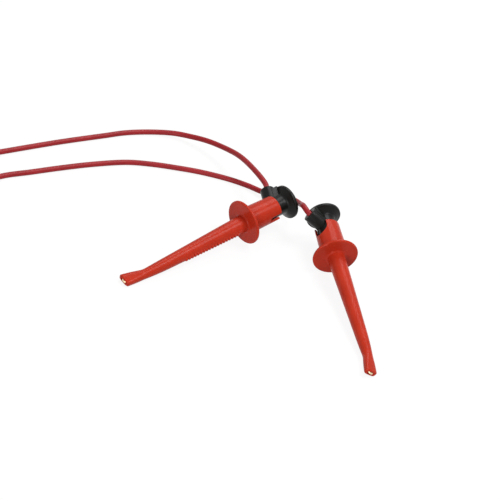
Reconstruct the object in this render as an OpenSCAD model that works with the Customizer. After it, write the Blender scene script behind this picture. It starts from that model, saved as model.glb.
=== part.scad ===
// Mini hook test lead: two spring-loaded hook clips joined by one flexible wire.
// Sizes are millimetres and +Z is up. The lead lies on a table: each clip rests on the rim of
// its finger flange and on its nose tip, and the origin is below the middle of the pair.
// Each clip is drawn about its own axis. There +Z runs along the nose from the middle of the
// flange, +X is the side of the wire boss and of the notch behind the tip, -X is the ribbed side.

/* [Housing] */
// Diameter of the finger flange
flange_d = 12.8; // [11.6:0.4:16]
// Thickness of the finger flange
flange_t = 0.8; // [0.8:0.1:1.6]
// Length of the nose, from the middle of the flange to the end face of the tip
nose_l = 41.7; // [36:0.1:50]
// Diameter of the nose where it leaves the flange
nose_root_d = 4.7; // [4.4:0.1:5.4]
// Diameter of the neck behind the tip
neck_d = 2.1; // [2:0.1:2.5]
// Length of the flared tip, from the neck to the end face
tip_l = 6.5; // [5.5:0.5:8]
// Width of the tip at its end face
tip_d = 3.5; // [3.4:0.1:4]
// Thickness of the tip at its end face, between its two flat sides
tip_t = 1.7; // [1.7:0.1:2.2]
// Height of the grip ribs
rib_h = 0.35; // [0.2:0.05:0.5]
// Spacing of the grip ribs along the nose
rib_pitch = 1; // [0.8:0.1:1.5]
// Length of the ribbed stretch
rib_run = 19; // [12:1:24]
// Length of the barrel, from the middle of the flange to its open end
barrel_l = 11; // [10.5:0.5:13]
// Diameter of the barrel beside the flange
barrel_d = 7.5; // [7.3:0.1:8.6]
// Diameter of the barrel at its open end
barrel_end_d = 7.1; // [6.9:0.1:8]
// Width of the barrel's narrow slot, opposite the wire boss
slit_w = 2.4; // [1.6:0.1:3]

/* [Plunger] */
// Travel of the plunger from rest to fully pressed
travel = 2.6; // [1.8:0.1:2.7]
// Diameter of the stem that slides in the barrel
stem_d = 5.6; // [5.2:0.1:5.8]
// Length of stem that is inside the barrel at rest
stem_in = 6; // [5:0.1:6.2]
// Length of stem that shows between the barrel and the button at rest
stem_out = 2.9; // [2.9:0.1:3.6]
// Diameter of the button
button_d = 9.8; // [8.5:0.1:10]
// Thickness of the button's rim
button_rim = 1; // [0.8:0.1:1.6]
// Diameter of the wire boss
boss_d = 4.2; // [3.6:0.1:4.4]
// Length of the wire boss, from the clip's axis to its mouth
boss_l = 6.7; // [6.2:0.1:7.2]
// Distance from the barrel's open end forward to the foot of the wire boss
boss_ahead = 0.5; // [0.1:0.1:0.9]
// Rearward lean of the wire boss in degrees
boss_lean = 26; // [20:1:30]

/* [Contact and spring] */
// Diameter of the hook's wire
rod_d = 0.7; // [0.6:0.05:0.75]
// Inside width of the hook's bend
hook_gap = 0.7; // [0.6:0.05:0.8]
// Straight length of the hook beyond its bend
hook_leg = 0.5; // [0.4:0.05:0.6]
// Diameter of the spring's wire
spring_wire_d = 0.3; // [0.2:0.05:0.35]
// Length of the spring at rest
spring_l = 11; // [9:0.5:12]
// Number of turns in the spring
spring_turns = 11; // [7:1:13]

/* [Wire] */
// Diameter of the wire over its insulation
wire_d = 1.6; // [1.3:0.1:2]
// Diameter of the wire's copper core
core_d = 0.8; // [0.5:0.05:0.85]

/* [Lay] */
// Angle of each clip from the middle line between the two
splay = 31; // [28:1:40]
// Distance between the centres of the two flanges
flange_apart = 27.2; // [27:0.2:30]
// Height of clip a's wire boss above level, in degrees round the clip's axis
boss_roll_a = 8; // [0:1:14]
// Height of clip b's wire boss above level, in degrees round the clip's axis
boss_roll_b = 28; // [22:1:34]

/* [Hidden] */
$fn = 48;

// Clearances and small radii
slide_gap = 0.08;     // round the stem in the barrel
rod_gap = 0.06;       // round the hook's wire in its bores
slot_side_gap = 0.25; // beside the boss in its slot
slot_end_gap = 0.2;   // between the boss and the slot's end when pressed
bore_end_gap = 0.4;   // between the stem and the barrel's floor when pressed
wire_gap = 0.15;      // round the wire in its boss
core_gap = 0.1;       // round the stripped core
sleeve_gap = 0.08;    // round the crimp sleeve in its pocket
seat_gap = 0.02;      // at the spring's two seats
cut = 1;              // how far a cutting shape runs past the surface it cuts
rim_r = 0.3;          // edge of the flange and the barrel
boss_edge_r = 0.2;    // edge of the boss's mouth
button_edge_r = 0.3;  // edge of the button
root_r = 0.5;         // fillet from the flange to the barrel
nose_fillet = 0.5;    // fillet from the flange to the nose
tip_r = 0.5;          // edge of the tip's end face

// Nose: it leans towards its ribbed side, so the notch reaches the clip's axis at the neck
root_x = -0.25;
neck_x = -neck_d / 2;
neck_z = nose_l - tip_l;
tip_x = tip_d / 2 - 2;
rib_start = flange_t / 2 + nose_fillet + 2.9;
rib_w = 1.1;
rib_foot = 0.6;

// Plunger and slot, measured back from the middle of the flange
stem_front = barrel_l - stem_in;
bore_floor = stem_front - travel - bore_end_gap;
button_under = barrel_l + stem_out;
button_cone = 1.1;
button_dome = 0.4;
button_end = button_under + button_cone + button_rim + button_dome;
slot_w = boss_d + 2 * slot_side_gap;
boss_back = barrel_l - boss_ahead;
bore_r = stem_d / 2 + slide_gap;
boss_front = boss_back + bore_r * tan(boss_lean) - boss_d / 2 / cos(boss_lean);
slot_end = boss_front - travel - slot_end_gap;

// Contact: the hook's wire runs beside the clip's axis, towards the ribbed side
rod_x = -0.9;
bend_r = (hook_gap + rod_d) / 2;
hook_proud = 0.2;
bend_z = nose_l + hook_proud - bend_r - rod_d / 2;
groove_w = rod_d + 4 * rod_gap;
saddle_h = 0.1;
saddle_x = rod_x + 2 * bend_r - rod_d / 2 - rod_gap;
elbow_back = boss_back + rod_x * tan(boss_lean);
elbow_at = rod_x / cos(boss_lean);
sleeve_wall = 0.2;
sleeve_bore = max(rod_d, core_d) + 0.06;
sleeve_d = sleeve_bore + 2 * sleeve_wall;
sleeve_rear = elbow_back - 0.6;
sleeve_front = stem_front + 0.9;
sleeve_middle = (sleeve_rear + sleeve_front) / 2;
tail_gap = 0.05;
pocket_d = sleeve_d + 2 * sleeve_gap;
spring_r = rod_d / 2 + 0.4 + spring_wire_d / 2;
chamber_d = 2 * spring_r + spring_wire_d + 0.3;
spring_end = spring_l - stem_front;
wire_in = 2.7;

// Lay on the table: the flange's rim and the tip both touch it. Clip a lies on the left, clip b
// on the right, each rolled about its own axis
A = -1;
B = 1;
flange_x = -0.27;
flange_y = 10.17;
tip_lift = 0.02;
tip_corner = sqrt(tip_d * tip_d - tip_t * tip_t) / 2 - tip_x;
function roll(side) = side == A ? boss_roll_a : boss_roll_b;
function tip_rest(side) = sin(roll(side)) * tip_corner + cos(roll(side)) * tip_t / 2 + tip_lift;
function dip(side) = asin((flange_d / 2 - tip_rest(side)) / nose_l);
function flange_z(side) = (flange_d / 2 - rim_r) * cos(dip(side))
    + (flange_t / 2 - rim_r) * sin(dip(side)) + rim_r;
function yaw(side) = 270 + side * splay;
function nose_dir(side) = [cos(dip(side)) * cos(yaw(side)), cos(dip(side)) * sin(yaw(side)), -sin(dip(side))];
function level_dir(side) = [sin(yaw(side)), -cos(yaw(side)), 0];
function boss_dir(side) = cos(roll(side)) * level_dir(side)
    + sin(roll(side)) * cross(level_dir(side), nose_dir(side));
function flange_at(side) = [flange_x + side * flange_apart / 2, flange_y, flange_z(side)];
// A point on the boss's axis, this far from the clip's axis
function on_boss(side, far) = flange_at(side) + far * cos(boss_lean) * boss_dir(side)
    - (boss_back + far * sin(boss_lean)) * nose_dir(side);

// The wire's route from clip a to clip b, with the height of the wire's underside
wire_free = [
    [-13.9, 27.5, 8.2], [-18.5, 32.2, 7.8], [-24.3, 37.9, 6.4], [-29.6, 41.8, 4.7], [-36.6, 44.9, 2.9],
    [-42.9, 46.1, 1.4], [-48.4, 45.6, 0.6], [-54.7, 42.7, 0.1], [-60.4, 38.4, 0], [-65.2, 33.3, 0],
    [-75.2, 22.5, 0], [-87.2, 8.5, 0], [-99.2, -5.8, 0], [-105.2, -14, 0], [-107.8, -22.4, 0],
    [-105.6, -30, 0], [-99.2, -33, 0], [-92.7, -28.5, 0], [-90.2, -20.5, 0], [-87.2, -11, 0],
    [-82.2, -2, 0], [-75.7, 4.9, 0], [-69.2, 11.7, 0], [-62.4, 18.3, 0], [-54.8, 24.6, 0],
    [-48.1, 28.1, 0], [-40.6, 30.9, 0], [-33.7, 33, 0], [-26.1, 34.4, 0], [-20.2, 34.4, 0.2],
    [-15.3, 33.2, 0.8], [-10.9, 31.8, 2], [-7.4, 30.3, 3.9], [-4.6, 28.2, 5.6], [-1.9, 25.2, 7.2],
    [-0.4, 20.7, 10.2]
];
wire_lift = 0.02;     // keeps the curve between two route points off the table
wire_route = concat(
    [on_boss(A, wire_in), on_boss(A, boss_l)],
    [for (p = wire_free) p + [0, 0, wire_lift + wire_d / 2]],
    [on_boss(B, boss_l), on_boss(B, wire_in)]
);
wire_sides = 8;
wire_steps = 2;
bend_spans = 6;       // the last spans before clip b turn sharply and get more steps
bend_steps = 4;

// An arc of points round a centre
function arc(centre, r, from, to, steps = 8) = [
    for (i = [0:steps]) let (a = from + (to - from) * i / steps) centre + r * [cos(a), sin(a)]
];
// A point on the smooth curve between p1 and p2
function curve_at(p0, p1, p2, p3, t) = p1 + 0.5 * t * (p2 - p0 + t * (2 * p0 - 5 * p1 + 4 * p2 - p3
    + t * (3 * (p1 - p2) + p3 - p0)));
function smooth(points, steps, fine, spans) = let (last = len(points) - 1) concat(
    [for (i = [0:last - 1]) let (n = i < last - spans ? steps : fine) for (k = [0:n - 1])
        curve_at(points[max(i - 1, 0)], points[i], points[i + 1], points[min(i + 2, last)], k / n)],
    [points[last]]
);
function unit(v) = v / norm(v);
// A ring of points round a path's point, square to the path there
function ring(path, i, r, sides, level) = let (
    along = unit(path[min(i + 1, len(path) - 1)] - path[max(i - 1, 0)]),
    across = unit(cross(along, level)),
    over = cross(across, along)
) [for (k = [0:sides - 1]) path[i] + r * (cos(360 * k / sides) * across + sin(360 * k / sides) * over)];

// A round tube along a path, with flat ends; the path never runs along the direction "level"
module tube(path, r, sides, level = [0, 0, 1]) {
    rings = len(path);
    points = [for (i = [0:rings - 1]) each ring(path, i, r, sides, level)];
    walls = [for (i = [0:rings - 2]) for (k = [0:sides - 1])
        let (n = (k + 1) % sides, low = i * sides, high = low + sides)
        each [[low + k, high + k, high + n], [low + k, high + n, low + n]]];
    first = [[for (k = [0:sides - 1]) k]];
    last = [[for (k = [sides - 1:-1:0]) (rings - 1) * sides + k]];
    polyhedron(points, concat(walls, first, last), convexity = 8);
}

// A cone between two centres given as [x, z]
module skew_cone(from, to, d_from, d_to) {
    run = to - from;
    translate([from.x, 0, from.y])
        rotate([0, atan2(run.x, run.y), 0])
            cylinder(h = norm(run), d1 = d_from, d2 = d_to);
}

module flange_and_barrel() {
    front = flange_t / 2;
    rim = flange_d / 2 - rim_r;
    wall = barrel_end_d / 2 - rim_r;
    rotate_extrude()
        polygon(concat(
            [[0, front]],
            arc([rim, front - rim_r], rim_r, 90, 0),
            arc([rim, rim_r - front], rim_r, 0, -90),
            arc([barrel_d / 2 + root_r, -front - root_r], root_r, 90, 180),
            arc([wall, rim_r - barrel_l], rim_r, 0, -90),
            [[0, -barrel_l]]
        ));
}

module nose() {
    tip_run = [tip_x - neck_x, tip_l];
    reach = 1.2;
    skew_cone([root_x, 0], [neck_x, neck_z], nose_root_d, neck_d);
    translate([neck_x, 0, neck_z]) sphere(d = neck_d);
    intersection() {
        skew_cone([neck_x, neck_z], [neck_x, neck_z] + reach * tip_run,
            neck_d, neck_d + reach * (tip_d - neck_d));
        rotate([90, 0, 0])
            linear_extrude(tip_t, center = true)
                polygon(concat(
                    [[tip_x - tip_d, neck_z - neck_d]],
                    arc([tip_x - tip_d / 2 + tip_r, nose_l - tip_r], tip_r, 180, 90),
                    arc([tip_x + tip_d / 2 - tip_r, nose_l - tip_r], tip_r, 90, 0),
                    [[tip_x + tip_d, neck_z - neck_d]]));
        rotate([90, 0, 90])
            linear_extrude(3 * tip_d, center = true)
                polygon([[-neck_d, neck_z - neck_d], [-neck_d / 2 - 0.02, neck_z],
                    [-tip_t / 2, nose_l], [tip_t / 2, nose_l],
                    [neck_d / 2 + 0.02, neck_z], [neck_d, neck_z - neck_d]]);
    }
    translate([root_x, 0, 0])
        rotate_extrude()
            polygon(concat([[0, 0]],
                [[nose_root_d / 2 + nose_fillet, 0]],
                arc([nose_root_d / 2 + nose_fillet, flange_t / 2 + nose_fillet], nose_fillet, 270, 180),
                [[0, flange_t / 2 + nose_fillet]]));
}

// The nose's surface on its ribbed side, at a height along the nose
function rib_side(z) = (root_x - nose_root_d / 2) * (1 - z / neck_z) + (neck_x - neck_d / 2) * z / neck_z;

module grip_ribs() {
    count = floor(rib_run / rib_pitch);
    rotate([90, 0, 0])
        linear_extrude(rib_w, center = true)
            polygon(concat(
                [[rib_side(rib_start) + rib_foot, rib_start]],
                [for (i = [0:count - 1]) let (z = rib_start + i * rib_pitch) each [
                    [rib_side(z), z],
                    [rib_side(z) - rib_h, z + 0.3 * rib_pitch],
                    [rib_side(z) - rib_h, z + 0.6 * rib_pitch],
                    [rib_side(z), z + 0.9 * rib_pitch]
                ]],
                [[rib_side(rib_start + rib_run) + rib_foot, rib_start + rib_run]]
            ));
}

// A slot from the barrel's open end, with a round floor, on the +X side
module barrel_slot(wide) {
    centre = slot_end + wide / 2;
    translate([0, -wide / 2, -barrel_l - cut])
        cube([barrel_d, wide, barrel_l + cut - centre]);
    translate([0, 0, -centre])
        rotate([0, 90, 0])
            cylinder(d = wide, h = barrel_d);
}

// Pocket in the tip's end face for the hook's bend and its short leg
module hook_pocket() {
    leg_floor = bend_z - hook_leg - 2 * rod_gap;
    far_side = rod_x + 2 * bend_r + groove_w / 2;
    translate([rod_x, -groove_w / 2, bend_z + saddle_h])
        cube([far_side - rod_x, groove_w, nose_l - bend_z + cut]);
    translate([saddle_x, -groove_w / 2, leg_floor])
        cube([far_side - saddle_x, groove_w, nose_l - leg_floor + cut]);
}

module housing() {
    color("tomato")
        difference() {
            union() {
                flange_and_barrel();
                nose();
                grip_ribs();
            }
            translate([0, 0, -barrel_l - cut])
                cylinder(r = bore_r, h = barrel_l + cut - bore_floor);
            barrel_slot(slot_w);
            rotate([0, 0, 180]) barrel_slot(slit_w);
            translate([rod_x, 0, -bore_floor - cut])
                cylinder(d = chamber_d, h = bore_floor + cut + spring_end);
            translate([rod_x, 0, 0])
                cylinder(d = rod_d + 2 * rod_gap, h = nose_l + cut);
            hook_pocket();
        }
}

module stem_and_button() {
    rim = button_d / 2 - button_edge_r;
    front = button_under + button_cone;
    rear = front + button_rim;
    dome_r = (rim * rim + button_dome * button_dome) / (2 * button_dome);
    dome_half = asin(rim / dome_r);
    rotate_extrude()
        polygon(concat(
            [[0, -stem_front]],
            [[stem_d / 2 - button_edge_r, -stem_front]],
            [[stem_d / 2, -stem_front - button_edge_r]],
            [[stem_d / 2, -button_under]],
            arc([rim, -front - button_edge_r], button_edge_r, 90, 0, 5),
            arc([rim, -rear + button_edge_r], button_edge_r, 0, -90, 5),
            arc([0, dome_r - rear - button_dome], dome_r, dome_half - 90, -90)
        ));
}

// Lays a shape's +Z along the wire boss, with its origin on the clip's axis
module along_boss() {
    translate([0, 0, -boss_back])
        rotate([0, 90 + boss_lean, 0])
            children();
}

module wire_boss() {
    along_boss()
        rotate_extrude()
            polygon(concat(
                [[0, 0], [boss_d / 2, 0]],
                arc([boss_d / 2 - boss_edge_r, boss_l - boss_edge_r], boss_edge_r, 0, 90),
                [[0, boss_l]]
            ));
}

module plunger() {
    color([0.09, 0.09, 0.1])
        difference() {
            union() {
                stem_and_button();
                wire_boss();
            }
            along_boss()
                translate([0, 0, wire_in])
                    cylinder(d = wire_d + 2 * wire_gap, h = boss_l);
            along_boss()
                translate([0, 0, elbow_at])
                    cylinder(d = core_d + 2 * core_gap, h = boss_l);
            translate([rod_x, 0, -elbow_back - pocket_d / 2])
                cylinder(d = pocket_d, h = elbow_back + pocket_d / 2 - sleeve_front + sleeve_gap);
            translate([rod_x, 0, -elbow_back])
                cylinder(d = rod_d + 2 * rod_gap, h = elbow_back);
        }
}

module contact_hook() {
    rod_sides = 16;
    bend_steps = 12;
    leg_x = rod_x + 2 * bend_r;
    path = concat(
        [[rod_x, 0, tail_gap - sleeve_middle]],
        [for (i = [0:bend_steps]) let (a = 180 - 180 * i / bend_steps)
            [rod_x + bend_r + bend_r * cos(a), 0, bend_z + bend_r * sin(a)]],
        [[leg_x, 0, bend_z - hook_leg]]
    );
    color("gold") tube(path, rod_d / 2, rod_sides, [0, 1, 0]);
}

module return_spring() {
    coil_sides = 6;
    steps = 12 * spring_turns;
    low = -stem_front + seat_gap + spring_wire_d / 2;
    rise = spring_l - 2 * seat_gap - spring_wire_d;
    helix = [for (i = [0:steps]) let (a = 360 * spring_turns * i / steps)
        [rod_x + spring_r * cos(a), spring_r * sin(a), low + rise * i / steps]];
    color("silver") tube(helix, spring_wire_d / 2, coil_sides);
}

module crimp_sleeve() {
    color("goldenrod")
        translate([rod_x, 0, -sleeve_rear])
            difference() {
                cylinder(d = sleeve_d, h = sleeve_rear - sleeve_front);
                translate([0, 0, -cut]) cylinder(d = sleeve_bore, h = sleeve_rear + 2 * cut);
            }
}

module stripped_core() {
    core_sides = 12;
    bend_cut = 0.5;
    elbow = [rod_x, 0, -elbow_back];
    to_wire = [cos(boss_lean), 0, -sin(boss_lean)];
    from_wire = elbow + (wire_in - elbow_at) * to_wire;
    path = concat(
        [from_wire],
        [for (t = [0:0.25:1]) elbow + bend_cut * ((1 - t) * (1 - t) * to_wire + t * t * [0, 0, 1])],
        [[rod_x, 0, -sleeve_middle - tail_gap]]
    );
    color("sandybrown") tube(path, core_d / 2, core_sides, [0, 1, 0]);
}

module lead_wire() {
    color("crimson") tube(smooth(wire_route, wire_steps, bend_steps, bend_spans), wire_d / 2, wire_sides);
}

// Lays a clip on the table
module lay(side) {
    translate(flange_at(side))
        rotate([0, 0, yaw(side)])
            rotate([0, 90 + dip(side), 0])
                rotate([0, 0, -90 - roll(side)])
                    children();
}

lay(A) housing();  // housing_a
lay(A) plunger();  // plunger_a
lay(A) contact_hook();  // contact_hook_a
lay(A) return_spring();  // return_spring_a
lay(A) crimp_sleeve();  // crimp_sleeve_a
lay(A) stripped_core();  // stripped_core_a
lay(B) housing();  // housing_b
lay(B) plunger();  // plunger_b
lay(B) contact_hook();  // contact_hook_b
lay(B) return_spring();  // return_spring_b
lay(B) crimp_sleeve();  // crimp_sleeve_b
lay(B) stripped_core();  // stripped_core_b
lead_wire();
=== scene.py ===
# %% [markdown]
# # A mini hook test lead
# The object is a short flexible lead with a spring-loaded hook clip at each end. Everything is
# in metres, in the CAD model's own frame.

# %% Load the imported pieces
from math import asin, copysign, cos, pi, radians, sin, sqrt, tan

import bmesh
import bpy
from mathutils import Matrix, Vector


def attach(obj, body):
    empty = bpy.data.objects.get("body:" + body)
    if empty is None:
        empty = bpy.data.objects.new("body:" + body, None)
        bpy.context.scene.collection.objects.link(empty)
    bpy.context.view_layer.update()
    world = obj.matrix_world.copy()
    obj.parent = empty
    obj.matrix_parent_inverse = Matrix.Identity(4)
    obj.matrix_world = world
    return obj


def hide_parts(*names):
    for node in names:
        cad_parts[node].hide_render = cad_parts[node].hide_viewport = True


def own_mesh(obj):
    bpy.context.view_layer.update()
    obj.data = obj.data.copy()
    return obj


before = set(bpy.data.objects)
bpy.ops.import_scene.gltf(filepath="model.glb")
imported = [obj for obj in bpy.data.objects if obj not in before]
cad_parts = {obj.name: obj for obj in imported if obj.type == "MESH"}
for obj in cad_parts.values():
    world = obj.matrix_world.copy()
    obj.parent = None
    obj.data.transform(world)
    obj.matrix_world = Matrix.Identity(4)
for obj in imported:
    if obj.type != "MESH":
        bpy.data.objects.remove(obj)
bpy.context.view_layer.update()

scene = bpy.context.scene
scene.view_settings.view_transform = "Standard"
print("pieces:", ", ".join(sorted(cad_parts)))

# %% [markdown]
# ## Camera
# The photograph looks down on the lead from the front, a little to the right, through a long
# lens. The camera could be aimed with a constraint, but its roll matters here, so its three
# directions are written down as they were measured from the two finger flanges and noses.

# %% Camera
EYE = Vector((0.05123, -0.34718, 0.27825))
RIGHT = Vector((0.9283, 0.3149, 0.1978))
UP = Vector((-0.3468, 0.5413, 0.7660))
AHEAD = Vector((-0.1341, 0.7797, -0.6117))
camera = bpy.data.objects.new("photo_camera", bpy.data.cameras.new("photo_camera"))
camera.data.sensor_width = 36.0
camera.data.lens = 117.27
camera.data.clip_start = 0.01
turn = Matrix((RIGHT, UP, -AHEAD)).transposed().to_quaternion()
camera.matrix_world = Matrix.Translation(EYE) @ turn.to_matrix().to_4x4()
scene.collection.objects.link(camera)
scene.camera = camera
print("camera distance to the origin:", round(EYE.length, 3), "m")

# %% [markdown]
# ## Where each clip lies
# Both clips are the same moulding. Each rests on the rim of its flange and on its nose tip, so
# its dip follows from those two heights. A clip is modelled once about its own axis, in
# millimetres: +Z along the nose, +X on the side of the wire boss. The two could be placed by
# hand, but a matrix from the measured angles lays them exactly where the CAD model has them.

# %% Sizes that several pieces share, in millimetres
MM = 0.001
FLANGE_R, FLANGE_HALF, RIM_R = 6.4, 0.4, 0.3
NOSE_L = 41.7
STEM_R, STEM_FRONT, TRAVEL = 2.8, 5.0, 2.6
BOSS_R, BOSS_L, BOSS_BACK, BOSS_LEAN = 2.1, 6.7, 10.5, radians(26)
print("a clip's flange is", 2 * FLANGE_R, "mm across and its nose", NOSE_L, "mm long")

# %% Lay the two clips down
TIP_HALF_WIDE, TIP_HALF_THICK, TIP_X = 1.75, 0.85, -0.25
SPLAY, HALF_APART = radians(31), 13.6
MIDDLE_X, MIDDLE_Y, FLOOR_GAP = -0.27, 10.17, 0.02


def clip_matrix(side, roll):
    corner = sqrt(TIP_HALF_WIDE ** 2 - TIP_HALF_THICK ** 2) - TIP_X
    rest = sin(roll) * corner + cos(roll) * TIP_HALF_THICK + FLOOR_GAP
    dip = asin((FLANGE_R - rest) / NOSE_L)
    height = (FLANGE_R - RIM_R) * cos(dip) + (FLANGE_HALF - RIM_R) * sin(dip) + RIM_R
    yaw = 3 * pi / 2 + side * SPLAY
    nose = Vector((cos(dip) * cos(yaw), cos(dip) * sin(yaw), -sin(dip)))
    level = Vector((sin(yaw), -cos(yaw), 0))
    boss = cos(roll) * level + sin(roll) * level.cross(nose)
    axes = Matrix((boss, nose.cross(boss), nose)).transposed().to_4x4()
    middle = Vector((MIDDLE_X + side * HALF_APART, MIDDLE_Y, height)) * MM
    return Matrix.Translation(middle) @ axes @ Matrix.Scale(MM, 4)


CLIPS = {"a": clip_matrix(-1, radians(8)), "b": clip_matrix(1, radians(28))}
for name, place in CLIPS.items():
    print("clip", name, "flange at", [round(c, 4) for c in place.translation])

# %% [markdown]
# ## The wire
# The wire is soft and about 305 mm long. It leaves clip a's boss, sinks to the table, runs out
# of view, turns back in one loose loop and comes home to clip b. It could be a swept mesh, but a
# Bezier curve with a round bevel keeps its route easy to read. The handles are a sixth of the
# step between neighbours, which gives the same smooth line as the CAD solid. The heights below
# are the wire's underside.

# %% Wire route
WIRE_R, WIRE_IN = 0.8, 2.7
WIRE_FREE = [
    (-13.9, 27.5, 8.2), (-18.5, 32.2, 7.8), (-24.3, 37.9, 6.4), (-29.6, 41.8, 4.7),
    (-36.6, 44.9, 2.9), (-42.9, 46.1, 1.4), (-48.4, 45.6, 0.6), (-54.7, 42.7, 0.1),
    (-60.4, 38.4, 0), (-65.2, 33.3, 0), (-75.2, 22.5, 0), (-87.2, 8.5, 0), (-99.2, -5.8, 0),
    (-105.2, -14, 0), (-107.8, -22.4, 0), (-105.6, -30, 0), (-99.2, -33, 0), (-92.7, -28.5, 0),
    (-90.2, -20.5, 0), (-87.2, -11, 0), (-82.2, -2, 0), (-75.7, 4.9, 0), (-69.2, 11.7, 0),
    (-62.4, 18.3, 0), (-54.8, 24.6, 0), (-48.1, 28.1, 0), (-40.6, 30.9, 0), (-33.7, 33, 0),
    (-26.1, 34.4, 0), (-20.2, 34.4, 0.2), (-15.3, 33.2, 0.8), (-10.9, 31.8, 2),
    (-7.4, 30.3, 3.9), (-4.6, 28.2, 5.6), (-1.9, 25.2, 7.2), (-0.4, 20.7, 10.2),
]


def on_boss(clip, far):
    on_axis = Vector((far * cos(BOSS_LEAN), 0, -BOSS_BACK - far * sin(BOSS_LEAN)))
    return CLIPS[clip] @ on_axis


wire_points = [on_boss("a", WIRE_IN), on_boss("a", BOSS_L)]
wire_points += [Vector((x, y, z + WIRE_R + FLOOR_GAP)) * MM for x, y, z in WIRE_FREE]
wire_points += [on_boss("b", BOSS_L), on_boss("b", WIRE_IN)]
print("route points:", len(wire_points))

# %% Wire curve
wire_curve = bpy.data.curves.new("lead_wire_insulation", "CURVE")
wire_curve.dimensions = "3D"
wire_curve.bevel_depth = 1.0  # each knot's radius brings this down to the wire's own
wire_curve.bevel_resolution = 8
wire_curve.resolution_u = 10
wire_curve.use_fill_caps = True
line = wire_curve.splines.new("BEZIER")
last = len(wire_points) - 1
line.bezier_points.add(last)
for i, (knot, point) in enumerate(zip(line.bezier_points, wire_points)):
    reach = (wire_points[min(i + 1, last)] - wire_points[max(i - 1, 0)]) / 6
    knot.handle_left_type = knot.handle_right_type = "FREE"
    knot.co, knot.handle_left, knot.handle_right = point, point - reach, point + reach
    knot.radius = WIRE_R * MM
wire = bpy.data.objects.new("lead_wire_insulation", wire_curve)
scene.collection.objects.link(wire)
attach(wire, "lead")
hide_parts("lead_wire")
print("wire length:", round(line.calc_length() / MM, 1), "mm")

# %% [markdown]
# ## Table and light
# The photograph has a plain white ground and soft light from above. More lamps could bleach the
# ground, but they would bleach the clips too. The table is a wide plane that camera rays see as
# nearly white, while every other ray meets an ordinary pale surface, so the clips still throw a
# faint shadow and light still bounces up under them.

# %% White for the camera, plain light for the rest
SOFT_LIGHT = 0.18


def seen_directly(tree):
    """One where a ray comes from the camera, a gloss or a glass, and nought elsewhere."""
    path = tree.nodes.new("ShaderNodeLightPath")
    total = path.outputs["Is Camera Ray"]
    for ray in ("Is Glossy Ray", "Is Transmission Ray"):
        either = tree.nodes.new("ShaderNodeMath")
        either.operation = "MAXIMUM"
        tree.links.new(total, either.inputs[0])
        tree.links.new(path.outputs[ray], either.inputs[1])
        total = either.outputs[0]
    return total


world = bpy.data.worlds.new("studio")
world.use_nodes = True
sky = world.node_tree
soft = sky.nodes["Background"]
soft.inputs["Color"].default_value = (1.0, 0.99, 0.98, 1)
soft.inputs["Strength"].default_value = SOFT_LIGHT
white = sky.nodes.new("ShaderNodeBackground")
choose = sky.nodes.new("ShaderNodeMixShader")
sky.links.new(seen_directly(sky), choose.inputs[0])
sky.links.new(soft.outputs[0], choose.inputs[1])
sky.links.new(white.outputs[0], choose.inputs[2])
sky.links.new(choose.outputs[0], sky.nodes["World Output"].inputs[0])
scene.world = world
print("world strength for soft light:", SOFT_LIGHT)

# %% Finish of the table
WHITE_SHARE, WHITE_GLOW = 0.85, 1.06
BOUNCE, SEEN_PAPER = 0.50, 0.92
table_finish = bpy.data.materials.new("pale_table")
table_finish.use_nodes = True
tree = table_finish.node_tree
tree.nodes.remove(tree.nodes["Principled BSDF"])
seen = seen_directly(tree)
paper = tree.nodes.new("ShaderNodeBsdfDiffuse")
pale = tree.nodes.new("ShaderNodeMapRange")
pale.inputs["To Min"].default_value, pale.inputs["To Max"].default_value = BOUNCE, SEEN_PAPER
tree.links.new(seen, pale.inputs["Value"])
tree.links.new(pale.outputs["Result"], paper.inputs["Color"])
glow = tree.nodes.new("ShaderNodeEmission")
glow.inputs["Strength"].default_value = WHITE_GLOW
share = tree.nodes.new("ShaderNodeMath")
share.operation = "MULTIPLY"
share.inputs[1].default_value = WHITE_SHARE
tree.links.new(seen, share.inputs[0])
blend = tree.nodes.new("ShaderNodeMixShader")
tree.links.new(share.outputs[0], blend.inputs[0])
tree.links.new(paper.outputs[0], blend.inputs[1])
tree.links.new(glow.outputs[0], blend.inputs[2])
tree.links.new(blend.outputs[0], tree.nodes["Material Output"].inputs[0])
print("made", table_finish.name)

# %% Table
TABLE_HALF = 3.0
corners = [(-TABLE_HALF, -TABLE_HALF, 0), (TABLE_HALF, -TABLE_HALF, 0),
           (TABLE_HALF, TABLE_HALF, 0), (-TABLE_HALF, TABLE_HALF, 0)]
table_mesh = bpy.data.meshes.new("table")
table_mesh.from_pydata(corners, [], [(0, 1, 2, 3)])
table_mesh.materials.append(table_finish)
table = bpy.data.objects.new("table", table_mesh)
scene.collection.objects.link(table)
print("table side:", 2 * TABLE_HALF, "m")

# %% [markdown]
# ## Lamps
# Even light on shiny plastic comes from large softboxes. Point lamps would be simpler, but they
# leave hard white dots on the round noses. Three rectangles of light give long pale streaks that
# show how round a nose or a barrel is: a key from above on the right, one from behind for the
# upper edges, and a low one from the front for the flange faces.

# %% Lamps


def softbox(name, place, size, watts):
    lamp = bpy.data.lights.new(name, "AREA")
    lamp.shape = "RECTANGLE"
    lamp.size, lamp.size_y = size
    lamp.energy = watts
    box = bpy.data.objects.new(name, lamp)
    box.location = place
    box.rotation_euler = (-Vector(place)).to_track_quat("-Z", "Y").to_euler()
    scene.collection.objects.link(box)
    print(name, watts, "W from", place)


softbox("key_light", (0.24, 0.05, 0.53), size=(0.25, 0.25), watts=1.6)
softbox("back_light", (-0.08, 0.35, 0.48), size=(0.35, 0.25), watts=1.2)
softbox("fill_light", (-0.02, -0.56, 0.20), size=(0.30, 0.30), watts=1.4)

# %% [markdown]
# ## Finishes
# Every finish is built from the same few steps: noise at a size given in millimetres, a colour
# ramp for a slight unevenness, a range for roughness and a bump. Painted pictures could do the
# same, but noise stays sharp at any distance and needs no files. Numbers that are the same all
# over go straight onto the shader's own sockets.

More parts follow.
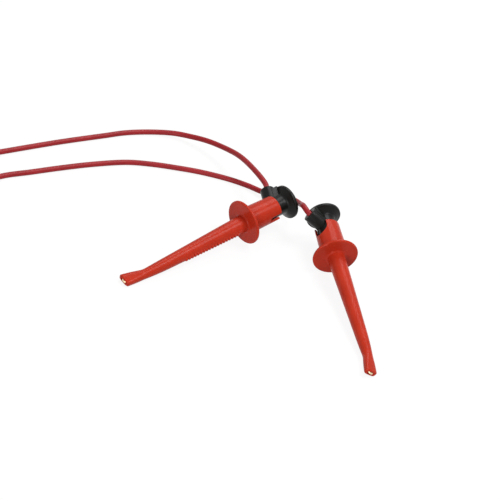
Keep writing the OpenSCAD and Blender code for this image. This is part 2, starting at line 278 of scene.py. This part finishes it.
# %% Noise, tint and roughness
NOISE_LOW, NOISE_HIGH = 0.3, 0.7


def begin_finish(name):
    finish = bpy.data.materials.new(name)
    finish.use_nodes = True
    tree = finish.node_tree
    place = tree.nodes.new("ShaderNodeTexCoord").outputs["Object"]
    return finish, tree, tree.nodes["Principled BSDF"], place


def mottle(tree, place, size_mm, detail=3.0):
    noise = tree.nodes.new("ShaderNodeTexNoise")
    noise.inputs["Scale"].default_value = 1 / (size_mm * MM)
    noise.inputs["Detail"].default_value = detail
    tree.links.new(place, noise.inputs["Vector"])
    return noise.outputs["Fac"]


def tint(tree, source, dark, pale):
    ramp = tree.nodes.new("ShaderNodeValToRGB")
    stops = zip(ramp.color_ramp.elements, (NOISE_LOW, NOISE_HIGH), (dark, pale))
    for stop, position, colour in stops:
        stop.position, stop.color = position, (*colour, 1)
    tree.links.new(source, ramp.inputs["Fac"])
    return ramp.outputs["Color"]


def vary(tree, source, target, low, high):
    spread = tree.nodes.new("ShaderNodeMapRange")
    spread.inputs["From Min"].default_value = NOISE_LOW
    spread.inputs["From Max"].default_value = NOISE_HIGH
    spread.inputs["To Min"].default_value = low
    spread.inputs["To Max"].default_value = high
    tree.links.new(source, spread.inputs["Value"])
    tree.links.new(spread.outputs["Result"], target)


print("noise is read from", NOISE_LOW, "to", NOISE_HIGH)

# %% Bump, and edges painted paler for wear and a painted highlight
EDGE_START, EDGE_FULL = 0.52, 0.62


def emboss(tree, shader, height, depth_mm, strength):
    bump = tree.nodes.new("ShaderNodeBump")
    bump.inputs["Strength"].default_value = strength
    bump.inputs["Distance"].default_value = depth_mm * MM
    tree.links.new(height, bump.inputs["Height"])
    tree.links.new(bump.outputs["Normal"], shader.inputs["Normal"])


def pale_edges_wear_and_highlight(tree, shader, colour, edge_wear_and_highlight):
    """Paints edges paler where Pointiness is high: partly finger wear, partly a painted highlight.
    """
    shape = tree.nodes.new("ShaderNodeNewGeometry")
    edge = tree.nodes.new("ShaderNodeMapRange")
    edge.inputs["From Min"].default_value = EDGE_START
    edge.inputs["From Max"].default_value = EDGE_FULL
    tree.links.new(shape.outputs["Pointiness"], edge.inputs["Value"])
    mix = tree.nodes.new("ShaderNodeMix")
    mix.data_type = "RGBA"
    tree.links.new(edge.outputs["Result"], mix.inputs["Factor"])
    tree.links.new(colour, mix.inputs["A"])
    mix.inputs["B"].default_value = (*edge_wear_and_highlight, 1)
    tree.links.new(mix.outputs["Result"], shader.inputs["Base Color"])


print("edges turn pale from a pointiness of", EDGE_START)

# %% [markdown]
# ## Red moulded nylon
# The housings are moulded in nylon that is red all through, and shiny from a polished tool. One
# flat red would do at a distance, but it looks like paint close by. So the red drifts a little
# from place to place, edges are painted paler, partly for wear and partly as a painted highlight,
# and a small share of the light passes under the surface, as it does in the thin flange. A larger
# share would show as speckle at few samples.

# %% Red moulded nylon of the housings
# the last red is the paler edge colour: partly wear, partly a painted highlight
RED_DEEP, RED_FULL, RED_EDGE_WEAR_AND_HIGHLIGHT = (0.55, 0.036, 0.014), (0.63, 0.045, 0.019), (0.74, 0.08, 0.05)
red_nylon, tree, shader, place = begin_finish("red_housing_nylon")
colour = tint(tree, mottle(tree, place, size_mm=5.0), RED_DEEP, RED_FULL)
# edges painted paler: partly wear, partly a painted highlight
pale_edges_wear_and_highlight(tree, shader, colour, RED_EDGE_WEAR_AND_HIGHLIGHT)
grain = mottle(tree, place, size_mm=0.7, detail=2.0)
vary(tree, grain, shader.inputs["Roughness"], low=0.21, high=0.29)
emboss(tree, shader, grain, depth_mm=0.004, strength=0.15)
shader.inputs["IOR"].default_value = 1.50
shader.inputs["Specular IOR Level"].default_value = 0.10
shader.inputs["Subsurface Weight"].default_value = 0.12
shader.inputs["Subsurface Radius"].default_value = (1.0, 0.12, 0.05)
shader.inputs["Subsurface Scale"].default_value = 0.6 * MM
print("made", red_nylon.name)

# %% [markdown]
# ## Black satin nylon
# The plungers are black nylon with a finely textured face, so that a thumb does not slip. Pure
# black would hide their form. A very dark grey with a fine grain in its bump and roughness breaks
# the highlights up instead, and those show where the button and the boss turn.

# %% Black satin nylon of the plungers
BLACK_DEEP, BLACK_FULL = (0.006, 0.007, 0.006), (0.010, 0.011, 0.010)
# the paler edge colour of the black: partly wear, partly a painted highlight
BLACK_EDGE_WEAR_AND_HIGHLIGHT = (0.030, 0.034, 0.031)
black_nylon, tree, shader, place = begin_finish("black_plunger_nylon")
colour = tint(tree, mottle(tree, place, size_mm=3.0), BLACK_DEEP, BLACK_FULL)
# edges painted paler: partly wear, partly a painted highlight
pale_edges_wear_and_highlight(tree, shader, colour, BLACK_EDGE_WEAR_AND_HIGHLIGHT)
grain = mottle(tree, place, size_mm=0.18, detail=4.0)
vary(tree, grain, shader.inputs["Roughness"], low=0.24, high=0.36)
emboss(tree, shader, grain, depth_mm=0.014, strength=0.4)
shader.inputs["IOR"].default_value = 1.50
shader.inputs["Specular IOR Level"].default_value = 0.16
print("made", black_nylon.name)

# %% [markdown]
# ## Red insulation
# The wire's insulation is a soft plastic, deeper in colour and duller than the housings. It could
# share their finish, but then the wire would look hard. Its own finish is rougher, with a faint
# unevenness from the die it was drawn through, and no paler edges, because a round wire has none.

# %% Red insulation of the wire
WIRE_DEEP, WIRE_FULL = (0.33, 0.012, 0.017), (0.40, 0.017, 0.023)
red_insulation, tree, shader, place = begin_finish("red_wire_insulation")
colour = tint(tree, mottle(tree, place, size_mm=4.0), WIRE_DEEP, WIRE_FULL)
tree.links.new(colour, shader.inputs["Base Color"])
drag = mottle(tree, place, size_mm=0.5, detail=5.0)
vary(tree, drag, shader.inputs["Roughness"], low=0.36, high=0.52)
emboss(tree, shader, drag, depth_mm=0.010, strength=0.3)
shader.inputs["Specular IOR Level"].default_value = 0.28
wire_curve.materials.append(red_insulation)
print("made", red_insulation.name)

# %% [markdown]
# ## Metals
# The hook is plated with gold, the coil is spring steel, the crimp sleeve is brass and the
# stripped wire is copper. Each could have a node tree of its own, but these metals differ mostly
# in colour and in how dull they are. So one function makes all four, with a fine noise that
# changes the tint and the roughness together.

# %% Metals: gold plate, spring steel, brass and copper


def metal(name, dark, pale, smooth, dull, streak_mm):
    finish, tree, shader, place = begin_finish(name)
    shader.inputs["Metallic"].default_value = 1.0
    streak = mottle(tree, place, streak_mm, detail=4.0)
    tree.links.new(tint(tree, streak, dark, pale), shader.inputs["Base Color"])
    vary(tree, streak, shader.inputs["Roughness"], smooth, dull)
    emboss(tree, shader, streak, depth_mm=0.006, strength=0.25)
    print("made", name)
    return finish


gold_plate = metal("gold_contact_plate", (0.78, 0.62, 0.36), (0.93, 0.80, 0.54),
                   smooth=0.20, dull=0.34, streak_mm=0.4)
spring_steel = metal("spring_steel_wire", (0.42, 0.42, 0.43), (0.60, 0.60, 0.61),
                     smooth=0.24, dull=0.40, streak_mm=0.3)
crimp_brass = metal("crimp_brass_tube", (0.52, 0.38, 0.17), (0.72, 0.55, 0.28),
                    smooth=0.28, dull=0.45, streak_mm=0.5)
copper_strand = metal("copper_core_strand", (0.50, 0.22, 0.10), (0.74, 0.38, 0.22),
                      smooth=0.26, dull=0.42, streak_mm=0.3)

# %% [markdown]
# ## Mesh tools
# The mouldings could be shaped from subdivided boxes. Lofts suit them better: rings of points
# along an axis, joined by quads, keep the long highlights clean and the sizes exact. Bores and
# slots are cut afterwards with a boolean, as the moulding tool's core pins do. All of this
# happens in millimetres about the clip's axis.

# %% Loft rings of points
AROUND = 96


def spokes(count):
    return [(cos(2 * pi * k / count), sin(2 * pi * k / count)) for k in range(count)]


def lofted(name, rings):
    """Joins the rings by quads and closes both ends with fans of triangles."""
    count = len(rings[0])
    points = [p for ring in rings for p in ring]
    for end in (rings[0], rings[-1]):
        points.append(tuple(sum(p[axis] for p in end) / count for axis in range(3)))
    faces = []
    for first in range(0, (len(rings) - 1) * count, count):
        for k in range(count):
            here, beside = first + k, first + (k + 1) % count
            faces.append((here, beside, beside + count, here + count))
    top = (len(rings) - 1) * count
    faces += [((k + 1) % count, k, len(points) - 2) for k in range(count)]
    faces += [(top + k, top + (k + 1) % count, len(points) - 1) for k in range(count)]
    mesh = bpy.data.meshes.new(name)
    mesh.from_pydata(points, [], faces)
    return mesh


def circle(radius, z, x=0.0):
    return [(x + radius * c, radius * s, z) for c, s in spokes(AROUND)]


def prism(name, outline, from_x, to_x):
    """An outline in Y and Z, drawn along X."""
    return lofted(name, [[(x, y, z) for y, z in outline] for x in (from_x, to_x)])


def arc(middle, radius, start, end, steps=6):
    angles = [radians(start + (end - start) * i / steps) for i in range(steps + 1)]
    return [(middle[0] + radius * cos(a), middle[1] + radius * sin(a)) for a in angles]


print("points round each loft:", AROUND)

# %% Cut and join
HAIRLINE = 0.001


def weld(mesh):
    """Closes the hairline seams that a boolean can leave."""
    skin = bmesh.new()
    skin.from_mesh(mesh)
    bmesh.ops.remove_doubles(skin, verts=skin.verts, dist=HAIRLINE)
    bmesh.ops.dissolve_degenerate(skin, edges=skin.edges, dist=HAIRLINE)
    skin.to_mesh(mesh)
    skin.free()


def cut(body, tool, how="DIFFERENCE"):
    pair = [bpy.data.objects.new(m.name, m) for m in (body, tool)]
    for piece in pair:
        scene.collection.objects.link(piece)
    pair[1].hide_render = True
    boolean = pair[0].modifiers.new("cut", "BOOLEAN")
    boolean.operation, boolean.solver, boolean.object = how, "EXACT", pair[1]
    view = bpy.context.evaluated_depsgraph_get()
    result = bpy.data.meshes.new_from_object(pair[0].evaluated_get(view))
    result.name = body.name
    weld(result)
    for piece in pair:
        old = piece.data
        bpy.data.objects.remove(piece)
        bpy.data.meshes.remove(old)
    return result


def bored(body, name, radius, low, high, x=0.0):
    """Cuts a round hole along the clip's axis."""
    return cut(body, lofted(name, [circle(radius, low, x), circle(radius, high, x)]))


print("seams are closed to", HAIRLINE, "mm")

# %% [markdown]
# ## The red housing
# One moulding makes the slotted barrel, the thin finger flange and the long nose. A lathe shape
# would do for the barrel and flange, but the nose leans so that its ribbed underside stays nearly
# straight, and behind the tip it dips to a neck before it flares to a flat bill. So its rings are
# drawn from two edge lines, keel and back, and from the thickness between its sides.

# %% Outline of the nose
NECK_Z, NECK_SOFT = 35.2, 0.9
SHOULDER_Z, SHOULDER_SOFT = 31.0, 3.0
KEEL_X, KEEL_RISE = -2.7, 0.061
BACK_X, BACK_FALL, BACK_FLARE = 2.33, 0.0591, 0.313
SIDE_HALF, SIDE_FALL, BILL_FALL = 2.5, 0.0265, 0.0511


def past(z, corner, soft):
    """Nought before a corner, then the distance past it, with the corner softened."""
    ahead = z - corner
    if ahead < -soft:
        return 0.0
    return ahead if ahead > soft else (ahead + soft) ** 2 / (4 * soft)


def nose_edges(z):
    keel = KEEL_X + KEEL_RISE * past(z, SHOULDER_Z, SHOULDER_SOFT)
    back = BACK_X - BACK_FALL * z + BACK_FLARE * past(z, NECK_Z, NECK_SOFT)
    return keel, back


def half_thickness(z):
    return SIDE_HALF - SIDE_FALL * z - BILL_FALL * past(z, SHOULDER_Z, SHOULDER_SOFT)


for z in (2, 20, NECK_Z, NOSE_L):
    print("nose at", z, "mm: edges", [round(e, 2) for e in nose_edges(z)])

# %% [markdown]
# ## Ribs under the nose
# Nineteen low ribs cross the underside of the nose, for grip. Small blocks could be repeated with
# an array and joined on, but moulded ribs have soft flanks and no seams. So they grow out of the
# nose's own rings: where a rib stands, the points near the keel move out. The rings also turn from
# ovals to rounded oblongs at the bill.

# %% One ring of the nose, with its rib
RIB_START, RIB_PITCH, RIB_COUNT = 3.8, 1.0, 19
RIB_H, RIB_HALF_W, RIB_SIDE = 0.35, 0.55, 0.12
RIB_FLANK, RIB_FOOT = 0.28, 0.92
BILL_SQUARE, BILL_RUN = 1.4, 5.0


def smooth_step(t):
    t = min(max(t, 0.0), 1.0)
    return t * t * (3 - 2 * t)


def rib_height(z):
    along = (z - RIB_START) / RIB_PITCH
    if not 0 <= along < RIB_COUNT:
        return 0.0
    t = along % 1
    return RIB_H * smooth_step(t / RIB_FLANK) * smooth_step((RIB_FOOT - t) / RIB_FLANK)


def nose_ring(z, grow=0.0, draw_in=(0.0, 0.0)):
    keel, back = nose_edges(z)
    wide = (back - keel) / 2 + grow - draw_in[0]
    thick = half_thickness(z) + grow - draw_in[1]
    power = 2 / (2 + BILL_SQUARE * smooth_step((z - NECK_Z) / BILL_RUN))
    rib = rib_height(z)
    ring = []
    for c, s in spokes(AROUND):
        x = copysign(wide * abs(c) ** power, c)
        y = copysign(thick * abs(s) ** power, s)
        if rib and c < 0:
            x -= rib * smooth_step((RIB_HALF_W + RIB_SIDE - abs(y)) / (2 * RIB_SIDE))
        ring.append(((keel + back) / 2 + x, y, z))
    return ring


print("ribs:", RIB_COUNT, "from", RIB_START, "mm")

# %% All rings of the nose
NOSE_FILLET, FILLET_STEPS, FILLET_CROWD = 0.5, 10, 1.6
TIP_ROUND, BILL_ROUND, TIP_ANGLES = 0.5, 0.22, range(10, 100, 10)
RIB_RINGS = 8


def rounded(depth, radius):
    """How far a rounded edge draws in at a depth below its end."""
    left = max(0.0, radius - depth)
    return radius - sqrt(max(0.0, radius ** 2 - left ** 2))


def stations(first, step, count):
    return [first + step * i for i in range(count)]


nose_rings = []
for i in range(FILLET_STEPS + 1):  # the rings crowd towards the foot of the fillet
    up = NOSE_FILLET * (i / FILLET_STEPS) ** FILLET_CROWD
    nose_rings.append(nose_ring(FLANGE_HALF + up, grow=rounded(up, NOSE_FILLET)))
ribs_end = RIB_START + RIB_COUNT * RIB_PITCH
heights = stations(1.1, 0.54, 5)  # from the fillet to the ribs
heights += stations(RIB_START, RIB_PITCH / RIB_RINGS, RIB_RINGS * RIB_COUNT + 1)
heights += stations(ribs_end + 0.6, 0.6, 18)  # on towards the neck
heights += stations(34.0, 0.25, 12) + stations(37.2, 0.4, 10)  # the neck, then the bill
nose_rings += [nose_ring(z) for z in heights]
for angle in TIP_ANGLES:
    drop = TIP_ROUND * (1 - sin(radians(angle)))
    draw_in = (rounded(drop, TIP_ROUND), rounded(drop, BILL_ROUND))
    nose_rings.append(nose_ring(NOSE_L - drop, draw_in=draw_in))
print("nose rings:", len(nose_rings))

# %% [markdown]
# ## Flange and barrel
# Behind the nose come the thin round finger flange and the barrel that the plunger slides in. Both
# are turned shapes, so a profile of radius and height describes them. A screw modifier could turn
# that profile, but circles in the same loft as the nose join it without a seam.

# %% Flange and barrel, then the whole body
BARREL_R, BARREL_END_R, BARREL_L, BARREL_STEPS = 3.75, 3.55, 11.0, 12
ROOT_R = 0.5
FLANGE_BACK_RINGS = (4.9, 5.6)
FLANGE_FRONT_RINGS = ((5.4, -0.05), (4.6, -0.1), (3.9, -0.16), (3.3, -0.22))
low, high = RIM_R - BARREL_L, -FLANGE_HALF - ROOT_R
profile = arc((BARREL_END_R - RIM_R, low), RIM_R, -90, 0)
for i in range(1, BARREL_STEPS + 1):
    t = i / BARREL_STEPS
    profile.append((BARREL_END_R + (BARREL_R - BARREL_END_R) * t, low + (high - low) * t))
profile += arc((BARREL_R + ROOT_R, high), ROOT_R, 180, 90)[1:]
profile += [(r, -FLANGE_HALF) for r in FLANGE_BACK_RINGS]
profile += arc((FLANGE_R - RIM_R, RIM_R - FLANGE_HALF), RIM_R, -90, 0, steps=8)
profile += arc((FLANGE_R - RIM_R, FLANGE_HALF - RIM_R), RIM_R, 0, 90, steps=8)
body_rings = [circle(r, z) for r, z in profile]
body_rings += [circle(r, FLANGE_HALF, x) for r, x in FLANGE_FRONT_RINGS]
housing_mesh = lofted("housing", body_rings + nose_rings)
print("housing faces before cutting:", len(housing_mesh.polygons))

# %% [markdown]
# ## Openings in the housing
# The barrel is bored for the plunger's stem and slotted for its boss, the nose is bored for the
# spring and the hook's wire, and the tip has a pocket for the hook's bend. The openings could be
# drawn into the loft's rings. A boolean with solids of their own shape keeps the loft simple, and
# each opening leaves its piece the same room as in the CAD model.

# %% Bores for the stem, the spring and the hook's wire
ROD_X, ROD_R = -0.9, 0.35
SLIDE_ROOM, ROD_ROOM = 0.08, 0.06
BORE_R, BORE_FLOOR = STEM_R + SLIDE_ROOM, -2.0
SPRING_ROOM_R, SPRING_ROOM_LOW, SPRING_ROOM_TOP = 1.2, -2.5, 6.0
PAST_BARREL, PAST_NOSE, OVERLAP = -12.0, 43.0, 0.5  # cuts run past the skin they open
housing_mesh = bored(housing_mesh, "barrel_bore", BORE_R, PAST_BARREL, BORE_FLOOR)
housing_mesh = bored(housing_mesh, "spring_room", SPRING_ROOM_R,
                     SPRING_ROOM_LOW, SPRING_ROOM_TOP, ROD_X)
housing_mesh = bored(housing_mesh, "hook_bore", ROD_R + ROD_ROOM,
                     SPRING_ROOM_TOP - OVERLAP, PAST_NOSE, ROD_X)
print("housing faces after boring:", len(housing_mesh.polygons))

# %% Slots in the barrel
SLOT_ROOM, SLOT_FLOOR_GAP, NARROW_HALF, PAST_SIDE = 0.25, 0.2, 1.2, 8.0
boss_front = BOSS_BACK + BORE_R * tan(BOSS_LEAN) - BOSS_R / cos(BOSS_LEAN)
SLOT_END = boss_front - TRAVEL - SLOT_FLOOR_GAP


def slot_outline(half):
    floor = arc((0, -SLOT_END - half), half, 0, 180, steps=24)
    return [(-half, PAST_BARREL), (half, PAST_BARREL)] + floor


boss_slot = prism("boss_slot", slot_outline(BOSS_R + SLOT_ROOM), 0.0, PAST_SIDE)
housing_mesh = cut(housing_mesh, boss_slot)
narrow_slot = prism("narrow_slot", slot_outline(NARROW_HALF), -PAST_SIDE, 0.0)
housing_mesh = cut(housing_mesh, narrow_slot)
print("slots end", round(SLOT_END, 2), "mm behind the flange's middle")

# %% Pocket in the tip for the hook's bend
BEND_R, HOOK_LEG, HOOK_PROUD = 0.7, 0.5, 0.2
POCKET_ROOM, SADDLE_RISE = 0.12, 0.1
BEND_Z = NOSE_L + HOOK_PROUD - BEND_R - ROD_R
LEG_X = ROD_X + 2 * BEND_R
half = ROD_R + POCKET_ROOM
saddle, leg_floor = BEND_Z + SADDLE_RISE, BEND_Z - HOOK_LEG - POCKET_ROOM
step_x, far_x = LEG_X - ROD_R - ROD_ROOM, LEG_X + half
pocket = [(ROD_X, saddle), (step_x, saddle), (step_x, leg_floor), (far_x, leg_floor),
          (far_x, PAST_NOSE), (ROD_X, PAST_NOSE)]
pocket_rings = [[(x, y, z) for x, z in pocket] for y in (half, -half)]
housing_mesh = cut(housing_mesh, lofted("hook_pocket", pocket_rings))
print("housing faces after cutting:", len(housing_mesh.polygons))

# %% [markdown]
# ## One mesh for both clips
# Both clips come from the same moulding tools, so each mesh is made once. Linked copies with a
# transform of their own could share it, but they would keep a scale of a thousandth. So the points
# of each copy are moved into the shared frame, the new object rides on its body, and the CAD node
# that it stands for is hidden.

# %% Lay a housing on each clip


def lay(mesh, name, clip, body, node, finish, sharp=35):
    laid = mesh.copy()
    laid.name = name
    laid.transform(CLIPS[clip])
    laid.materials.clear()
    laid.materials.append(finish)
    laid.polygons.foreach_set("use_smooth", [True] * len(laid.polygons))
    laid.set_sharp_from_angle(angle=radians(sharp))
    piece = bpy.data.objects.new(name, laid)
    scene.collection.objects.link(piece)
    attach(piece, body)
    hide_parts(node)
    return piece


for clip in CLIPS:
    piece = lay(housing_mesh, "housing_moulding_" + clip, clip, "housing_" + clip,
                "housing_" + clip, red_nylon)
    print(piece.name, "size mm", [round(d / MM, 1) for d in piece.dimensions])

# %% [markdown]
# ## The black plunger
# The plunger is one moulding: a stem that slides in the barrel, a coned button for the thumb, and
# a short round boss that leans back and takes the wire, with a web that ties it to the button. One
# loft can't branch, so the turned part, the boss and the web are lofts of their own that a boolean
# joins, and the wire's bore is cut last.

# %% Stem and button
BUTTON_R, BUTTON_UNDER, BUTTON_CONE, BUTTON_EDGE = 4.9, 13.9, 1.1, 0.3
BUTTON_THICK, DOME_H, DOME_ANGLES = 1.0, 0.4, range(15, 90, 15)
STEM_CHAMFER, STEM_RUN, STEM_STEPS = 0.3, 8.3, 12
CONE_RADII = (3.02, 3.3, 3.6, 3.9, 4.2, 4.4)
FOOT_OUT, FOOT_UP = 0.05, 0.08  # a small fillet where the cone meets the stem
rim, front = BUTTON_R - BUTTON_EDGE, -BUTTON_UNDER - BUTTON_CONE
rear = front - BUTTON_THICK
slope = BUTTON_CONE / (rim - STEM_R)
dome_r = (rim ** 2 + DOME_H ** 2) / (2 * DOME_H)
stem_top = -STEM_FRONT - STEM_CHAMFER
turned = [(STEM_R - STEM_CHAMFER, -STEM_FRONT)]
turned += [(STEM_R, stem_top - STEM_RUN * i / STEM_STEPS) for i in range(STEM_STEPS + 1)]
turned += [(STEM_R + FOOT_OUT, FOOT_UP - BUTTON_UNDER)]
turned += [(r, -BUTTON_UNDER - slope * (r - STEM_R)) for r in CONE_RADII]
turned += arc((rim, front - BUTTON_EDGE), BUTTON_EDGE, 90, 0)
turned += arc((rim, rear + BUTTON_EDGE), BUTTON_EDGE, 0, -90)
domed = [rim * cos(radians(a)) for a in DOME_ANGLES]
turned += [(r, rear - DOME_H + dome_r - sqrt(dome_r ** 2 - r ** 2)) for r in domed]
plunger_mesh = lofted("plunger", [circle(r, z) for r, z in reversed(turned)])
print("plunger rings:", len(turned))

# %% Wire boss
BOSS_EDGE, BOSS_RINGS = 0.2, (0.0, 2.2, 4.4)
BOSS_FOOT = Vector((0, 0, -BOSS_BACK))
BOSS_OUT = Vector((cos(BOSS_LEAN), 0, -sin(BOSS_LEAN)))
BOSS_FORE = Vector((sin(BOSS_LEAN), 0, cos(BOSS_LEAN)))


def along_boss(profile):
    """Rings about the boss's own axis, from a profile of radius and distance."""
    rings = []
    for r, far in profile:
        middle = BOSS_FOOT + far * BOSS_OUT
        rings.append([tuple(middle + r * c * BOSS_FORE + Vector((0, -r * s, 0)))
                      for c, s in spokes(AROUND)])
    return rings


boss = [(BOSS_R, far) for far in BOSS_RINGS]
boss += arc((BOSS_R - BOSS_EDGE, BOSS_L - BOSS_EDGE), BOSS_EDGE, 0, 90)
plunger_mesh = cut(plunger_mesh, lofted("wire_boss", along_boss(boss)), "UNION")
print("plunger faces with its boss:", len(plunger_mesh.polygons))

# %% Web between the boss and the button
WEB_HALF, WEB_DEEP, WEB_L = 2.0, 4.0, 6.5
WEB_R, WEB_LOW, WEB_TOP = 5.3, -15.5, -9.0
web_rings = []
for far in (0.0, WEB_L):
    near, deep = (BOSS_FOOT + far * BOSS_OUT - d * BOSS_FORE for d in (0.0, WEB_DEEP))
    web_rings.append([(near.x, WEB_HALF, near.z), (deep.x, WEB_HALF, deep.z),
                      (deep.x, -WEB_HALF, deep.z), (near.x, -WEB_HALF, near.z)])
web_room = lofted("web_room", [circle(WEB_R, WEB_LOW), circle(WEB_R, WEB_TOP)])
web = cut(lofted("boss_web", web_rings), web_room, "INTERSECT")
plunger_mesh = cut(plunger_mesh, web, "UNION")
print("plunger faces with its web:", len(plunger_mesh.polygons))

# %% Bores for the wire, its copper, the crimp sleeve and the hook
WIRE_BORE_R, CORE_BORE_R, SLEEVE_R, SLEEVE_FRONT = 0.95, 0.5, 0.71, -5.82
PAST_BOSS, CORE_END, HOOK_HOLE_L = 8.0, 3.2, 1.5
wire_bore = along_boss([(WIRE_BORE_R, WIRE_IN), (WIRE_BORE_R, PAST_BOSS)])
plunger_mesh = cut(plunger_mesh, lofted("wire_bore", wire_bore))
core_bore = along_boss([(CORE_BORE_R, ROD_X / cos(BOSS_LEAN)), (CORE_BORE_R, CORE_END)])
plunger_mesh = cut(plunger_mesh, lofted("core_bore", core_bore))
sleeve_end = -BOSS_BACK - ROD_X * tan(BOSS_LEAN) - SLEEVE_R
plunger_mesh = bored(plunger_mesh, "sleeve_pocket", SLEEVE_R, sleeve_end, SLEEVE_FRONT, ROD_X)
plunger_mesh = bored(plunger_mesh, "hook_hole", ROD_R + ROD_ROOM,
                     -STEM_FRONT - HOOK_HOLE_L, -STEM_FRONT + OVERLAP, ROD_X)
for clip in CLIPS:
    piece = lay(plunger_mesh, "plunger_moulding_" + clip, clip, "lead", "plunger_" + clip,
                black_nylon)
    print(piece.name, "faces", len(piece.data.polygons))

# %% [markdown]
# ## The contact hook
# A gold-plated wire runs the whole length of the clip and turns back over the tip. A bevelled
# curve could make it, but its cut ends are rounded over, so it is a ring of points carried along
# a path, with a few smaller rings at each end.

# %% Sweep a wire along a path
CAP_ANGLES = (20, 40, 60, 80)


def rounded_ends(frames, radius):
    """Replaces the first and last ring by rings that close over in a quarter circle."""
    caps = [(radius * (1 - cos(radians(a))), radius * sin(radians(a))) for a in CAP_ANGLES]
    point, along, across, over, _ = frames[0]
    frames[:1] = [(point + along * ahead, along, across, over, r) for ahead, r in caps]
    point, along, across, over, _ = frames[-1]
    frames[-1:] = [(point - along * ahead, along, across, over, r)
                   for ahead, r in reversed(caps)]


def swept(name, path, radius, sides, level, round_end=True):
    path = [Vector(p) for p in path]
    frames = []
    for i, point in enumerate(path):
        along = (path[min(i + 1, len(path) - 1)] - path[max(i - 1, 0)]).normalized()
        across = along.cross(Vector(level)).normalized()
        frames.append((point, along, across, along.cross(across), radius))
    if round_end:
        rounded_ends(frames, radius)
    return lofted(name, [[tuple(point + r * (c * across + s * over)) for c, s in spokes(sides)]
                         for point, _, across, over, r in frames])


print("rings at each rounded end:", len(CAP_ANGLES))

# %% Hook
HOOK_TAIL, HOOK_SIDES, BEND_STEPS, NEAR_BEND = -7.63, 24, 20, 0.3
SHANK_HEIGHTS = range(-6, 42, 2)
hook_path = [(ROD_X, 0, z) for z in (HOOK_TAIL, *SHANK_HEIGHTS)]
hook_path = [p for p in hook_path if p[2] < BEND_Z - NEAR_BEND]
for i in range(BEND_STEPS + 1):
    a = pi - pi * i / BEND_STEPS
    hook_path.append((ROD_X + BEND_R + BEND_R * cos(a), 0, BEND_Z + BEND_R * sin(a)))
hook_path += [(LEG_X, 0, BEND_Z - NEAR_BEND), (LEG_X, 0, BEND_Z - HOOK_LEG)]
hook_mesh = swept("contact_hook", hook_path, ROD_R, HOOK_SIDES, level=(0, 1, 0))
for clip in CLIPS:
    piece = lay(hook_mesh, "contact_hook_wire_" + clip, clip, "lead", "contact_hook_" + clip,
                gold_plate)
    print(piece.name, "faces", len(piece.data.polygons))

# %% [markdown]
# ## The return spring
# Inside the nose a coil spring pushes the hook home. A screw modifier could wind it, but a real
# spring's end turns lie flat, so the pitch is worked out step by step here. When the clip is
# pressed the housing slides back over the spring, which seats on the plunger's stem.

# %% Path of the coil
TURNS, COIL_R, COIL_WIRE_R, COIL_SIDES, TURN_STEPS = 11, 0.90, 0.15, 10, 24
SPRING_L, SPRING_LOW, SPRING_RISE = 11.0, -4.83, 10.66
CLOSED_PITCH, CLOSED_TURNS = 0.31, 0.75
steps = TURN_STEPS * TURNS
opening = []
for i in range(steps):
    turn_at = (i + 0.5) / TURN_STEPS
    opening.append(smooth_step(min(turn_at, TURNS - turn_at) - CLOSED_TURNS))
open_pitch = (SPRING_RISE - CLOSED_PITCH * TURNS) / (sum(opening) / TURN_STEPS)
coil_z, coil_path = SPRING_LOW, []
for i in range(steps + 1):
    a = 2 * pi * i / TURN_STEPS
    coil_path.append((ROD_X + COIL_R * cos(a), COIL_R * sin(a), coil_z))
    if i < steps:
        coil_z += (CLOSED_PITCH + opening[i] * open_pitch) / TURN_STEPS
print("coil from", SPRING_LOW, "to", round(coil_z, 2), "mm")

# %% Coils in both clips
spring_mesh = swept("return_spring", coil_path, COIL_WIRE_R, COIL_SIDES, level=(0, 0, 1),
                    round_end=False)
for clip, place in CLIPS.items():
    piece = lay(spring_mesh, "return_spring_coil_" + clip, clip, "lead", "return_spring_" + clip,
                spring_steel, sharp=60)
    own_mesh(piece)
    print(piece.name, "faces", len(piece.data.polygons))

# %% [markdown]
# ## Crimp sleeves and copper
# A crimp sleeve joins the wire's stripped copper to the hook inside each plunger. These could be
# modelled again, but they are hidden and their CAD shapes are right, so they keep them and only
# get their finishes.

# %% Finishes on the CAD pieces
for clip in CLIPS:
    for node, finish in (("crimp_sleeve_", crimp_brass), ("stripped_core_", copper_strand)):
        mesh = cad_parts[node + clip].data
        mesh.materials.clear()
        mesh.materials.append(finish)
        print(node + clip, "is", finish.name)

# %% [markdown]
# Last, the scene is brought up to date.

# %% Finish
bpy.context.view_layer.update()
